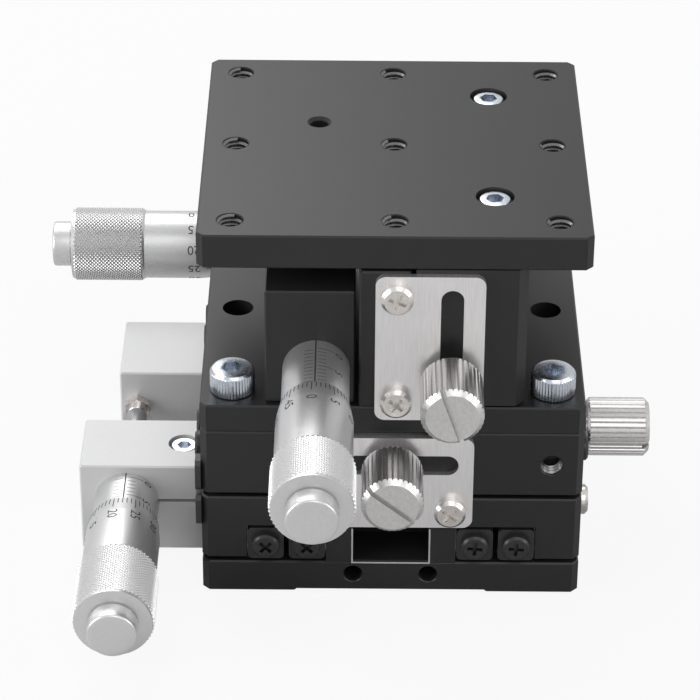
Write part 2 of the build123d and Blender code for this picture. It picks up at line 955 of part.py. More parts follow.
def z_column():
    """The fixed column with the rib that carries the upright rails."""
    top = z_floor + column_height
    body = machined((column_left, column_right), (-half, half), (z_floor, top), column_corner)
    reach = slide_left + z_rib_reach
    body += block((column_right, reach), (-z_rib_half_width, z_rib_half_width), (z_floor, top))
    return body - [front_lock_place() * cut for cut in lock_screw_holes()]


def z_slide_block():
    """The moving body of the vertical slide, with a channel over the column's rib."""
    x = (slide_left, slide_left + slide_width)
    body = block(x, (-half, half), (slide_bottom, top_bottom))
    uprights = body.edges().filter_by(Axis.Z).group_by(Axis.X)[-1]
    body = chamfer(uprights, slide_chamfer)
    wall = z_rib_half_width + 2 * rail_width + rail_gap
    deep = z_rail_x() + z_rib_reach + z_channel_headroom
    body -= block((slide_left, deep), (-wall, wall), (slide_bottom, top_bottom))
    for side in (-1, 1):
        mouth = (top_screw_x, side * top_screw_y, top_bottom)
        end = (top_screw_x, side * top_screw_y, top_bottom - top_screw_length)
        body -= rod(top_screw_shank + screw_clearance, mouth, end)
    return body - front_lock_place() * lock_thread_hole(lock_z_knob)


def top_screw_seat():
    """Height of the seat of the top plate's screws."""
    return top_bottom + top_thickness - top_screw_height - counterbore_clearance


def top_plate():
    """The table with its tapped grid, two counterbores and the lift post's hole."""
    top = top_bottom + top_thickness
    body = machined((-half, half), (-half, half), (top_bottom, top))
    for x, y in grid:
        body -= tapped_hole((x, y, top), (0, 0, -1), top_thickness)
    for side in (-1, 1):
        x, y = top_screw_x, side * top_screw_y
        body -= rod(top_screw_shank + plate_hole_clearance, (x, y, top_bottom), (x, y, top))
        radius = top_screw_head + counterbore_clearance
        body -= rod(radius, (x, y, top_screw_seat()), (x, y, top))
    countersink = turned(
        [
            (0, 0),
            (0, post_hole_radius + post_countersink),
            (post_countersink, post_hole_radius),
            (top_thickness, post_hole_radius),
            (top_thickness, 0),
        ]
    )
    return body - along((z_axis_x, post_y, top), (0, 0, -1)) * countersink


def top_plate_screws():
    """The two screws that hold the table on the slide."""
    screw = cap_screw(
        top_screw_head,
        top_screw_height,
        top_screw_shank,
        top_screw_socket,
        top_screw_length,
    )
    return [
        Pos(top_screw_x, side * top_screw_y, top_screw_seat())
        * Rot(0, 0, top_screw_turn * side)
        * screw
        for side in (-1, 1)
    ]


def lever_nose_at(arm, angle):
    """The middle of a bell crank nose: arm is 0 for the driven nose and 1 for the lifting one."""
    lean = angle + arm * pi / 2
    return (
        z_axis_x,
        lever_pin_y + lever_radius * sin(lean),
        lever_pin_z - lever_radius * cos(lean),
    )


def z_lever():
    """The bell crank in its lowest position: two round noses on webs from a bored hub."""
    x = (z_axis_x - lever_thickness / 2, z_axis_x + lever_thickness / 2)
    hub = (z_axis_x, lever_pin_y, lever_pin_z)

    def across(radius, centre):
        return rod(radius, (x[0], centre[1], centre[2]), (x[1], centre[1], centre[2]))

    body = across(lever_hub, hub)
    for arm in (0, 1):
        nose = lever_nose_at(arm, -lever_half_swing)
        middle = ((hub[1] + nose[1]) / 2, (hub[2] + nose[2]) / 2)
        run = Vector(0, nose[1] - hub[1], nose[2] - hub[2])
        web = Box(lever_thickness, lever_web, lever_radius)
        place = Plane(origin=(z_axis_x, *middle), x_dir=(1, 0, 0), z_dir=run).location
        body += place * web
        body += across(lever_nose, nose)
    return body - across(lever_pin_radius + running_clearance, hub)


def z_lever_pin():
    """The bell crank's axle, held in both housing walls."""
    start = (housing_left + lever_pin_inset, lever_pin_y, lever_pin_z)
    return rod(lever_pin_radius, start, (housing_right, lever_pin_y, lever_pin_z))


def z_lever_housing():
    """The block that holds the Z micrometer in front and the bell crank behind."""
    top = z_floor + housing_height
    body = block((housing_left, housing_right), (housing_front, housing_back), (z_floor, top))
    body = chamfer(body.edges(), edge_break)
    side = lever_thickness / 2 + lever_side_gap
    body -= block(
        (z_axis_x - side, z_axis_x + side),
        (pocket_front, pocket_back),
        (z_floor + housing_floor, top),
    )
    axis_z = z_floor + z_axis_height
    stem_end = housing_front + housing_stem
    body -= rod(
        stem_radius + stem_clearance,
        (z_axis_x, housing_front, axis_z),
        (z_axis_x, stem_end, axis_z),
    )
    body -= rod(
        spindle_radius + running_clearance,
        (z_axis_x, stem_end, axis_z),
        (z_axis_x, pocket_front, axis_z),
    )
    return body - z_lever_pin()


def z_micrometer():
    """The Z micrometer, its spindle just clear of the bell crank's driven nose."""
    nose = lever_nose_at(0, -lever_half_swing)
    tip = nose[1] - lever_nose - lever_contact_gap - housing_front
    face = (z_axis_x, housing_front, z_floor + z_axis_height)
    return micrometer(face, z_reading, z_zero_reach, housing_stem, tip, z_thimble_smooth)


def z_lift_post():
    """The post under the table that the bell crank lifts, screwed in from below."""
    nose = lever_nose_at(1, -lever_half_swing)
    foot = nose[2] + lever_nose + lever_contact_gap
    post = turned(
        [
            (foot, 0),
            (foot, post_radius),
            (top_bottom - post_collar_length, post_radius),
            (top_bottom - post_collar_length, post_collar_radius),
            (top_bottom, post_collar_radius),
            (top_bottom, post_hole_radius - screw_clearance),
            (top_bottom + post_thread_length, post_hole_radius - screw_clearance),
            (top_bottom + post_thread_length, 0),
        ]
    )
    return Pos(z_axis_x, post_y, 0) * post


def all_nodes():
    """Every node's solids, by name."""
    y_head = layer_micrometer(y_reading, y_zero_reach)
    x_head = layer_micrometer(x_reading, x_zero_reach)
    z_head = z_micrometer()
    side = side_lock_place()
    front = front_lock_place()
    clamp_screws = bracket_screws(clamp_screw_places())
    anvil_screws = bracket_screws(anvil_screw_places())
    lower = {
        "y_inner_rails": rails(True),
        "base_end_stops": end_stops(True),
        "y_lock_plate": [side * lock_plate()],
        "y_lock_plate_screws": [side * screw for screw in lock_plate_screws()],
        "y_lock_knob": [side * lock_knob(slot_turn=y_knob_turn)],
        "y_micrometer_clamp": [micrometer_clamp()],
        "y_clamp_screw": [clamp_screw()],
        "y_anvil_block": [anvil_block()],
        "y_anvil_pin": [anvil_pin()],
        "y_micrometer_sleeve": y_head[0],
        "y_spindle": y_head[1],
        "y_thimble": y_head[2],
        "y_roller_cages": roller_cages(),
        "y_return_spring": [return_spring()],
        "base_spring_pin": [lower_spring_pin()],
        "base_bracket_screws": clamp_screws,
    }
    upper = {
        "x_outer_rails": rails(False),
        "x_table_end_stops": end_stops(False),
        "x_lock_plate": [side * lock_plate()],
        "x_lock_plate_screws": [side * screw for screw in lock_plate_screws()],
        "x_lock_knob": [side * lock_knob(slot_turn=x_knob_turn)],
        "x_micrometer_clamp": [micrometer_clamp()],
        "x_clamp_screw": [clamp_screw()],
        "x_anvil_block": [anvil_block()],
        "x_anvil_pin": [anvil_pin()],
        "x_micrometer_sleeve": x_head[0],
        "x_spindle": x_head[1],
        "x_thimble": x_head[2],
        "x_roller_cages": roller_cages(),
        "x_return_spring": [return_spring()],
        "x_table_spring_pin": [upper_spring_pin()],
        "x_table_bracket_screws": anvil_screws,
    }
    nodes = {name: [y_layer * piece for piece in pieces] for name, pieces in lower.items()}
    nodes |= {name: [x_layer * piece for piece in pieces] for name, pieces in upper.items()}
    raised = Pos(0, 0, base_thickness + layer_pitch)
    nodes["x_table_end_stops"].append(raised * side_plate(running_gap + side_plate_gap))
    nodes |= {
        "base_block": [base_block()],
        "middle_block": [middle_block()],
        "middle_rails": [y_layer * bar for bar in rails(False)]
        + [x_layer * bar for bar in rails(True)],
        "middle_end_stops": [y_layer * piece for piece in end_stops(False)]
        + [x_layer * piece for piece in end_stops(True)]
        + [raised * side_plate(-side_plate_gap - side_plate_height)],
        "middle_bracket_screws": [y_layer * screw for screw in anvil_screws]
        + [x_layer * screw for screw in clamp_screws],
        "middle_spring_pins": [y_layer * upper_spring_pin(), x_layer * lower_spring_pin()],
        "x_table_block": [x_table_block()],
        "z_base_plate": [z_base_plate()],
        "z_base_plate_screws": z_base_plate_screws(),
        "z_column": [z_column()],
        "z_fixed_rails": z_fixed_rails(),
        "z_moving_rails": z_moving_rails(),
        "z_roller_cages": z_roller_cages(),
        "z_slide_block": [z_slide_block()],
        "top_plate": [top_plate()],
        "top_plate_screws": top_plate_screws(),
        "z_lock_plate": [front * lock_plate()],
        "z_lock_plate_screws": [front * screw for screw in lock_plate_screws()],
        "z_lock_knob": [front * lock_knob(lock_z_knob, z_knob_turn)],
        "z_lever_housing": [z_lever_housing()],
        "z_lever": [z_lever()],
        "z_lever_pin": [z_lever_pin()],
        "z_lift_post": [z_lift_post()],
        "z_micrometer_sleeve": z_head[0],
        "z_spindle": z_head[1],
        "z_thimble": z_head[2],
    }
    return nodes


for name, pieces in all_nodes().items():
    solids = [solid for piece in pieces for solid in piece.solids()]
    export_step(Compound(children=solids), f"parts/{name}.step")
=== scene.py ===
"""Looks of a three-axis translation stage: black anodised slides, satin chrome micrometer heads."""
import json
import logging
import math
from dataclasses import dataclass, field
from enum import Enum

import bpy
from mathutils import Matrix, Vector


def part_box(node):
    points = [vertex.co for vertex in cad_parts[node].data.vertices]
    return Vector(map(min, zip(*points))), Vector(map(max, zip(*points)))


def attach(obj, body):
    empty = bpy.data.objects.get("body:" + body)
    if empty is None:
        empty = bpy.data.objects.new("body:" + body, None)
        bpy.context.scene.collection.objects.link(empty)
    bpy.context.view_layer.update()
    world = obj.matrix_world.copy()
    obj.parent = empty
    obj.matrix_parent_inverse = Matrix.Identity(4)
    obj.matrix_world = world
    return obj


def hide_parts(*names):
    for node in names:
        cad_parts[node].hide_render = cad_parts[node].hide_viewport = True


MM = 0.001
TO_METRES = Matrix.Scale(MM, 4)
NEAR_AXIS = 0.0008
WHITE = (1.0, 1.0, 1.0, 1.0)
LOG = logging.getLogger("stage")
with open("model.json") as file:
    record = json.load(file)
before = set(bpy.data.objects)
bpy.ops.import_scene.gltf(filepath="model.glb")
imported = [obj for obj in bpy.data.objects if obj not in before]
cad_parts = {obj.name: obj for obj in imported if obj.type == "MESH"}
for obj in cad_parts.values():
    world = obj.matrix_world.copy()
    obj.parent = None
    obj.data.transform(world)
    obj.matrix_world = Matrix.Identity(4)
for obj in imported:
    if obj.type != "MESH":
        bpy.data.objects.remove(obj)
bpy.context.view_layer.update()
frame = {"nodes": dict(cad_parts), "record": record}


class Coat(Enum):
    """The surfaces that the stage's parts have."""

    BLACK_ANODISED = "black_anodised"
    CLEAR_ANODISED = "clear_anodised"
    SATIN_CHROME = "satin_chrome"
    NICKEL_KNOB = "nickel_knob"
    BRUSHED_PLATE = "brushed_plate"
    NICKEL_SCREW = "nickel_screw"
    ZINC_SCREW = "zinc_screw"
    BLACK_SCREW = "black_screw"
    HARDENED_STEEL = "hardened_steel"
    SPRING_STEEL = "spring_steel"
    ENGRAVED_INK = "engraved_ink"
    BARE_EDGE = "bare_edge"
    BARE_THREAD = "bare_thread"


@dataclass(frozen=True)
class Finish:
    """One finish: its colour, its gloss and the fine marks of how it was made."""

    colour: tuple[float, float, float]
    metallic: float
    roughness: float
    grain: float
    variation: float
    bump: float
    stretch: tuple[float, float, float] = (1.0, 1.0, 1.0)
    specular: float = 0.5
    roughness_swing: float = 0.06
    smoothest: float = 0.03
    cloud_scale: float = 55.0
    grain_share: float = 0.6
    bump_height: float = 0.02

    def shade(self, factor: float) -> tuple[float, float, float, float]:
        """The finish's colour, lighter or darker."""
        red, green, blue = (min(1.0, part * factor) for part in self.colour)
        return (red, green, blue, 1.0)

    def build(self, coat: Coat) -> bpy.types.Material:
        """Makes the node material.

        Args:
            coat: The surface that it stands for, whose name it takes.

        Returns:
            The material, its pattern on Object coordinates.
        """
        material = bpy.data.materials.new(coat.value)
        material.use_nodes = True
        nodes, links = material.node_tree.nodes, material.node_tree.links
        shader = nodes["Principled BSDF"]
        shader.inputs["Metallic"].default_value = self.metallic
        shader.inputs["Specular IOR Level"].default_value = self.specular
        place = nodes.new("ShaderNodeTexCoord")
        mapping = nodes.new("ShaderNodeMapping")
        mapping.inputs["Scale"].default_value = self.stretch
        links.new(place.outputs["Object"], mapping.inputs["Vector"])
        grain = nodes.new("ShaderNodeTexNoise")
        grain.inputs["Scale"].default_value = self.grain
        grain.inputs["Detail"].default_value = 4.0
        links.new(mapping.outputs["Vector"], grain.inputs["Vector"])
        cloud = nodes.new("ShaderNodeTexNoise")
        cloud.inputs["Scale"].default_value = self.cloud_scale
        cloud.inputs["Detail"].default_value = 3.0
        links.new(place.outputs["Object"], cloud.inputs["Vector"])
        part = nodes.new("ShaderNodeMath")
        part.operation = "MULTIPLY"
        part.inputs[1].default_value = 1.0 - self.grain_share
        links.new(cloud.outputs["Fac"], part.inputs[0])
        both = nodes.new("ShaderNodeMath")
        both.operation = "MULTIPLY_ADD"
        both.inputs[1].default_value = self.grain_share
        links.new(grain.outputs["Fac"], both.inputs[0])
        links.new(part.outputs[0], both.inputs[2])
        tint = nodes.new("ShaderNodeValToRGB")
        dark, light = tint.color_ramp.elements
        dark.position, dark.color = 0.3, self.shade(1.0 - self.variation)
        light.position, light.color = 0.7, self.shade(1.0 + self.variation)
        links.new(both.outputs[0], tint.inputs["Fac"])
        links.new(tint.outputs["Color"], shader.inputs["Base Color"])
        gloss = nodes.new("ShaderNodeMapRange")
        gloss.inputs["To Min"].default_value = max(self.smoothest, self.roughness - self.roughness_swing)
        gloss.inputs["To Max"].default_value = self.roughness + self.roughness_swing
        links.new(grain.outputs["Fac"], gloss.inputs["Value"])
        links.new(gloss.outputs["Result"], shader.inputs["Roughness"])
        bump = nodes.new("ShaderNodeBump")
        bump.inputs["Strength"].default_value = self.bump
        bump.inputs["Distance"].default_value = self.bump_height * MM
        links.new(grain.outputs["Fac"], bump.inputs["Height"])
        links.new(bump.outputs["Normal"], shader.inputs["Normal"])
        return material


FINISHES: dict[Coat, Finish] = {
    Coat.BLACK_ANODISED: Finish((0.020, 0.020, 0.021), metallic=0.0, roughness=0.34, grain=5200.0,
                                variation=0.10, bump=0.25, specular=0.32),
    Coat.CLEAR_ANODISED: Finish((0.66, 0.66, 0.665), metallic=0.25, roughness=0.5, grain=4200.0,
                                variation=0.05, bump=0.2),
    Coat.SATIN_CHROME: Finish((0.66, 0.66, 0.665), metallic=0.8, roughness=0.34, grain=2400.0,
                              variation=0.05, bump=0.06),
    Coat.NICKEL_KNOB: Finish((0.66, 0.65, 0.645), metallic=1.0, roughness=0.32, grain=2000.0,
                             variation=0.12, bump=0.1),
    Coat.BRUSHED_PLATE: Finish((0.84, 0.825, 0.825), metallic=0.9, roughness=0.36, grain=900.0,
                               variation=0.10, bump=0.3, stretch=(6.0, 1.0, 0.25)),
    Coat.NICKEL_SCREW: Finish((0.74, 0.71, 0.68), metallic=1.0, roughness=0.26, grain=1300.0,
                              variation=0.16, bump=0.3),
    Coat.ZINC_SCREW: Finish((0.6, 0.64, 0.7), metallic=1.0, roughness=0.26, grain=1200.0,
                            variation=0.14, bump=0.2),
    Coat.BLACK_SCREW: Finish((0.028, 0.028, 0.03), metallic=0.2, roughness=0.34, grain=1800.0,
                             variation=0.3, bump=0.3),
    Coat.HARDENED_STEEL: Finish((0.42, 0.42, 0.43), metallic=1.0, roughness=0.22, grain=1500.0,
                                variation=0.1, bump=0.1),
    Coat.SPRING_STEEL: Finish((0.36, 0.36, 0.37), metallic=1.0, roughness=0.28, grain=1500.0,
                              variation=0.15, bump=0.1),
    Coat.ENGRAVED_INK: Finish((0.035, 0.035, 0.04), metallic=0.0, roughness=0.55, grain=6000.0,
                              variation=0.25, bump=0.1),
    Coat.BARE_EDGE: Finish((0.72, 0.72, 0.72), metallic=1.0, roughness=0.3, grain=2500.0,
                           variation=0.1, bump=0.1),
    Coat.BARE_THREAD: Finish((0.2, 0.2, 0.205), metallic=1.0, roughness=0.28, grain=2500.0,
                             variation=0.15, bump=0.1),
}
MATERIALS: dict[Coat, bpy.types.Material] = {coat: finish.build(coat) for coat, finish in FINISHES.items()}


def deselect() -> None:
    """Leaves edit mode and clears the selection."""
    if bpy.context.object and bpy.context.object.mode != "OBJECT":
        bpy.ops.object.mode_set(mode="OBJECT")
    bpy.ops.object.select_all(action="DESELECT")


def pick(piece: bpy.types.Object) -> None:
    """Selects one piece alone and makes it active."""
    deselect()
    piece.select_set(True)
    bpy.context.view_layer.objects.active = piece


def settle(piece: bpy.types.Object, place: Matrix = TO_METRES) -> None:
    """Moves a piece's place into its mesh.

    Args:
        piece: The mesh object, modelled in its own millimetres.
        place: From those millimetres to the frame's metres.
    """
    piece.data.transform(place @ piece.matrix_world)
    piece.matrix_world = Matrix.Identity(4)


def fix_normals(piece: bpy.types.Object, merge: float = 0.002) -> None:
    """Merges doubles and turns the faces outwards.

    Args:
        piece: The mesh object.
        merge: Distance under which points join, in the mesh's own units.
    """
    pick(piece)
    bpy.ops.object.mode_set(mode="EDIT")
    bpy.ops.mesh.select_all(action="SELECT")
    bpy.ops.mesh.remove_doubles(threshold=merge)
    bpy.ops.mesh.normals_make_consistent(inside=False)
    bpy.ops.object.mode_set(mode="OBJECT")


def lathe(name: str, profile: list[tuple[float, float]], sides: int) -> bpy.types.Object:
    """Turns a profile about the Z axis, ring by ring.

    Args:
        name: The object's name.
        profile: Pairs of radius and height in millimetres.
        sides: Points on each ring.

    Returns:
        The turned mesh object, closed where the profile starts and ends near the axis.
    """
    deselect()
    radius, height = profile[0]
    bpy.ops.mesh.primitive_circle_add(vertices=sides, radius=radius, location=(0, 0, 0))
    piece = bpy.context.object
    piece.name = name
    bpy.ops.object.mode_set(mode="EDIT")
    bpy.ops.mesh.select_all(action="SELECT")
    bpy.ops.transform.translate(value=(0, 0, height))
    for next_radius, next_height in profile[1:]:
        step = (0, 0, next_height - height)
        bpy.ops.mesh.extrude_region_move(TRANSFORM_OT_translate={"value": step})
        scale = next_radius / radius
        bpy.ops.transform.resize(value=(scale, scale, 1), center_override=(0, 0, 0))
        radius, height = next_radius, next_height
    bpy.ops.object.mode_set(mode="OBJECT")
    fix_normals(piece)
    return piece


def column(vertex: bpy.types.MeshVertex, sides: int) -> int:
    """Which of a turned shape's columns a point is in."""
    return round(math.atan2(vertex.co.y, vertex.co.x) / (2 * math.pi) * sides)


def reach(vertex: bpy.types.MeshVertex) -> float:
    """A point's distance from the Z axis."""
    return math.hypot(vertex.co.x, vertex.co.y)


def push(vertex: bpy.types.MeshVertex, radius: float) -> None:
    """Moves a point out or in to a radius about the Z axis."""
    scale = radius / reach(vertex)
    vertex.co.x *= scale
    vertex.co.y *= scale


def smooth(piece: bpy.types.Object, degrees: float) -> None:
    """Shades a piece smooth up to an angle."""
    pick(piece)
    bpy.ops.object.shade_smooth_by_angle(angle=math.radians(degrees))


def join(name: str, pieces: list[bpy.types.Object]) -> bpy.types.Object:
    """Joins pieces into one object.

    Args:
        name: The joined object's name.
        pieces: Mesh objects, at least one.

    Returns:
        The joined object.
    """
    deselect()
    for piece in pieces:
        piece.select_set(True)
    bpy.context.view_layer.objects.active = pieces[0]
    if len(pieces) > 1:
        bpy.ops.object.join()
    pieces[0].name = name
    return pieces[0]


def dress(piece: bpy.types.Object, coat: Coat) -> None:
    """Gives a new piece its one material."""
    piece.data.materials.clear()
    piece.data.materials.append(MATERIALS[coat])


def copy_of(piece: bpy.types.Object) -> bpy.types.Object:
    """A copy of a piece with a mesh of its own."""
    twin = piece.copy()
    twin.data = piece.data.copy()
    bpy.context.collection.objects.link(twin)
    return twin


@dataclass
class MicrometerHead:
    """A micrometer head: knurled thimble with its cap, scales and numerals, in millimetres.

    Heights are counted along the head's axis, from the face of the clamp that holds it outwards.
    """

    axis: str
    reading: float
    division: float
    clamp: str
    smooth_length: float
    sleeve_body: str
    thimble_body: str
    outward: Vector = field(default_factory=lambda: Vector((0, -1, 0)))
    sleeve_radius: float = 5.2
    thimble_radius: float = 5.9
    lip_radius: float = 5.46
    lip_edge: float = 0.05
    bore_radius: float = 5.26
    spindle_bore: float = 1.8
    cone: float = 3.6
    cone_blend: float = 0.15
    collar: float = 0.1
    wall: float = 2.6
    knurl_radius: float = 6.4
    knurl_depth: float = 0.26
    knurl_pitch: float = 0.605
    knurl_count: int = 54
    knurl_margin: float = 0.4
    cap_radius: float = 3.9
    cap_length: float = 3.4
    cap_dish: float = 1.0
    cap_round: float = 0.55
    cap_drop: float = 0.45
    cap_neck: float = 0.25
    divisions: int = 50
    scale_length: int = 13
    mark_width: float = 0.11
    mark_length: float = 1.35
    long_mark: float = 2.6
    tick_width: float = 0.13
    tick_length: float = 1.6
    long_tick: float = 2.7
    sleeve_digit: float = 1.45
    thimble_digit: float = 1.6
    ink: float = 0.012

    def __post_init__(self) -> None:
        """Reads the head's place from the frame."""
        low, high = (Vector(corner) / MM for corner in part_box(f"{self.axis}_thimble"))
        face = Vector(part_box(self.clamp)[0]) / MM
        along = 0 if self.outward.x else 1
        middle = (low + high) / 2
        middle[along] = face[along]
        self.front = face[along] - high[along]
        self.back = face[along] - low[along] - self.cap_length
        self.knurl_start = self.front + self.smooth_length
        up = Vector((0, 0, 1))
        turn = Matrix((up.cross(self.outward), up, self.outward)).transposed().to_4x4()
        self.place = TO_METRES @ Matrix.Translation(middle) @ turn

    def wrap(self, piece: bpy.types.Object, radius: float, growth: float = 0.0, bend: float = 0.0) -> None:
        """Lays a flat mesh on the head's round surface.

        Args:
            piece: A mesh whose x runs along the axis and whose y runs round the head.
            radius: The surface's radius at the thimble's front, or anywhere on a cylinder.
            growth: How much the radius grows for each millimetre behind that front.
            bend: The radius at which lengths round the head are measured, if not the surface's own.
        """
        for vertex in piece.data.vertices:
            along, around, lift = vertex.co
            surface = radius + growth * (along - self.front)
            angle = around / (bend or surface)
            out = surface + lift
            vertex.co = (out * math.sin(angle), out * math.cos(angle), along)

    def line(self, start: tuple[float, float], size: tuple[float, float]) -> bpy.types.Object:
        """A thin engraved line, flat.

        Args:
            start: Its lowest corner, along and around.
            size: Its length along and around.

        Returns:
            The line as a closed mesh, divided so that it can be laid round.
        """
        deselect()
        steps = max(1, int(2 * max(size)))
        cuts = (1, steps) if size[1] > size[0] else (steps, 1)
        bpy.ops.mesh.primitive_grid_add(x_subdivisions=cuts[0], y_subdivisions=cuts[1], size=1.0)
        piece = bpy.context.object
        middle = Vector((start[0] + size[0] / 2, start[1] + size[1] / 2, -self.ink))
        piece.data.transform(Matrix.Translation(middle) @ Matrix.Diagonal((size[0], size[1], 1, 1)))
        thick = piece.modifiers.new("thick", "SOLIDIFY")
        thick.thickness = 2 * self.ink
        thick.offset = 1.0
        bpy.ops.object.modifier_apply(modifier=thick.name)
        return piece

    def numeral(self, text: str, along: float, around: float, height: float) -> bpy.types.Object:
        """A numeral, flat, reading outwards along the axis.

        Args:
            text: The digits.
            along: Its middle along the axis.
            around: Its middle round the head.
            height: The digits' height.

        Returns:
            The numeral as a closed mesh.
        """
        deselect()
        bpy.ops.object.text_add(location=(0, 0, 0))
        letters = bpy.context.object
        letters.data.body = text
        letters.data.align_x = "CENTER"
        letters.data.align_y = "CENTER"
        letters.data.size = height * 1.45
        letters.data.extrude = self.ink
        letters.data.resolution_u = 3
        bpy.ops.object.convert(target="MESH")
        piece = bpy.context.object
        piece.data.transform(Matrix.Translation((along, around, 0)))
        return piece

    def cap_profile(self) -> list[tuple[float, float]]:
        """The end cap with its rounded rim, and the bevel at the thimble's back."""
        end = self.back + self.cap_length
        neck = self.cap_radius - self.cap_neck
        profile = [(NEAR_AXIS, end), (self.cap_radius - self.cap_dish, end)]
        for number in range(1, 6):
            angle = math.radians(18 * number)
            profile.append((self.cap_radius - self.cap_round * (1 - math.sin(angle)),
                            end - self.cap_drop * (1 - math.cos(angle))))
        return profile + [(self.cap_radius, self.back + 0.35), (neck, self.back + 0.25), (neck, self.back),
                          (self.knurl_radius - 0.55, self.back),
                          (self.knurl_radius - 0.38, self.back - 0.06),
                          (self.knurl_radius - self.knurl_depth - 0.06, self.back - 0.38)]

    def barrel_profile(self) -> list[tuple[float, float]]:
        """The smooth barrel, its bevelled front lip and the bore behind it."""
        floor = self.back - self.wall
        return [(self.thimble_radius + self.collar, self.knurl_start + self.collar),
                (self.thimble_radius, self.knurl_start), (self.thimble_radius, self.knurl_start - 2.0),
                (self.thimble_radius, self.front + self.cone + self.cone_blend),
                (self.thimble_radius - 0.02, self.front + self.cone),
                (self.lip_radius, self.front + self.lip_edge),
                (self.lip_radius - self.lip_edge, self.front), (self.bore_radius, self.front),
                (self.bore_radius, floor), (self.spindle_bore, floor),
                (self.spindle_bore, self.back - 0.02), (NEAR_AXIS, self.back - 0.02)]

    def build_thimble(self) -> bpy.types.Object:
        """Turns and knurls the thimble with its cap.

        Returns:
            The thimble.
        """
        length = self.back - self.knurl_start - 2 * self.knurl_margin
        rows = int(length / (self.knurl_pitch / 2)) // 2 * 2
        step = length / rows
        root = self.knurl_radius - self.knurl_depth
        first = self.knurl_start + self.knurl_margin
        knurl = [(root, first + step * number) for number in range(rows, -1, -1)]
        sides = 2 * self.knurl_count
        piece = lathe(f"{self.axis}_thimble_turned",
                      self.cap_profile() + knurl + self.barrel_profile(), sides)
        for vertex in piece.data.vertices:
            on_knurl = abs(reach(vertex) - root) < 0.01 and vertex.co.z < self.back - 0.39
            row = round((vertex.co.z - first) / step)
            if on_knurl and 0 < row < rows and (row + column(vertex, sides)) % 2:
                push(vertex, self.knurl_radius)
        pick(piece)
        bpy.ops.object.mode_set(mode="EDIT")
        bpy.ops.mesh.select_all(action="SELECT")
        bpy.ops.mesh.quads_convert_to_tris(quad_method="SHORTEST_DIAGONAL", ngon_method="BEAUTY")
        bpy.ops.object.mode_set(mode="OBJECT")
        settle(piece, self.place)
        smooth(piece, 26.0)
        dress(piece, Coat.SATIN_CHROME)
        return piece

    def build_sleeve_marks(self) -> bpy.types.Object:
        """The sleeve's datum line, half millimetre marks and numerals.

        Returns:
            The marks as one piece.
        """
        zero = self.front - self.reading
        limit = self.front + 0.6
        pieces = [self.line((0.05, -self.mark_width), (limit, 2 * self.mark_width))]
        for half_steps in range(2 * self.scale_length + 1):
            at = zero + half_steps / 2
            if at > limit:
                break
            five = half_steps % 10 == 0
            if half_steps % 2:
                start, length = -0.35 - self.mark_length, self.mark_length
            else:
                start, length = 0.35, self.long_mark if five else self.mark_length
            pieces.append(self.line((at - self.mark_width / 2, start), (self.mark_width, length)))
            if five and at < limit - 0.4:
                pieces.append(self.numeral(str(half_steps // 2), at + 0.1, 3.85, self.sleeve_digit))
        for piece in pieces:
            self.wrap(piece, self.sleeve_radius)
        marks = join(f"{self.axis}_sleeve_marks", pieces)
        settle(marks, self.place)
        dress(marks, Coat.ENGRAVED_INK)
        return marks

    def build_thimble_marks(self) -> bpy.types.Object:
        """The divisions on the thimble's bevel and the numerals behind them.

        Returns:
            The marks as one piece.
        """
        growth = (self.thimble_radius - self.lip_radius) / self.cone
        tick_spacing = 2 * math.pi * self.lip_radius / self.divisions
        digit_spacing = 2 * math.pi * self.thimble_radius / self.divisions
        pieces = []
        for number in range(self.divisions):
            around = (number - self.division) * tick_spacing - self.tick_width / 2
            length = self.tick_length if number % 5 else self.long_tick
            piece = self.line((self.front + 0.15, around), (length, self.tick_width))
            self.wrap(piece, self.lip_radius, growth, self.lip_radius)
            pieces.append(piece)
        for number in range(0, self.divisions, 5):
            around = (number - self.division) * digit_spacing
            piece = self.numeral(str(number), self.front + 4.95, around, self.thimble_digit)
            self.wrap(piece, self.thimble_radius)
            pieces.append(piece)
        marks = join(f"{self.axis}_thimble_marks", pieces)
        settle(marks, self.place)
        dress(marks, Coat.ENGRAVED_INK)
        return marks

    def build(self) -> None:
        """Makes the head's pieces and gives each its body."""
        thimble = self.build_thimble()
        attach(thimble, self.thimble_body)
        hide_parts(f"{self.axis}_thimble")
        for marks, body in ((self.build_sleeve_marks(), self.sleeve_body),
                            (self.build_thimble_marks(), self.thimble_body)):
            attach(marks, body)
        LOG.info("micrometer head %s: front edge %.1f mm from its clamp", self.axis, self.front)


